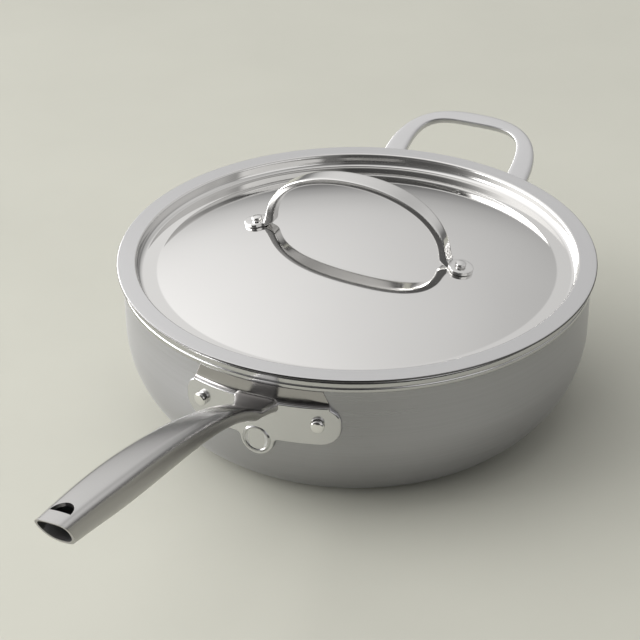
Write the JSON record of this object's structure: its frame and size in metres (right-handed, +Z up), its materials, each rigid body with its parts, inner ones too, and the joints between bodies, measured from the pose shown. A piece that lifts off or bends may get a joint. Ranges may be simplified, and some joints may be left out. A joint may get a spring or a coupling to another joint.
{
  "type": "saute pan with lid",
  "caption": "Deep rounded saute pan with a flared lip, a long hollow handle, a helper loop and a domed lid that drops into the rim.",
  "frame": {"origin": "centre of the flat underside of the base, on the surface that the pan stands on", "axes": "+Z up along the pan's axis, +X along the long handle, away from the pan"},
  "size_m": [0.5705, 0.294, 0.1482],
  "materials": {
    "shell_steel": "brushed round the wall, polished lip",
    "core_alloy": "rolled",
    "liner_steel": "fine circular brushing",
    "handle_steel": "cast and polished",
    "rivet_steel": "polished",
    "lid_steel": "mirror-polished dome, satin flange"
  },
  "bodies": {
    "pan": {"outer_shell": "shell_steel", "aluminium_core": "core_alloy", "cooking_liner": "liner_steel", "long_handle": "handle_steel", "long_handle_rivets": "rivet_steel", "helper_handle": "handle_steel", "helper_handle_rivets": "rivet_steel"},
    "lid": {"lid_shell": "lid_steel", "lid_handle": "handle_steel", "lid_handle_rivets": "rivet_steel"}
  },
  "joints": [
    {"name": "lid_lift", "type": "slide", "parent": "pan", "child": "lid", "axis": [0, 0, 1], "range_m": [0, 0.12]}
  ]
}
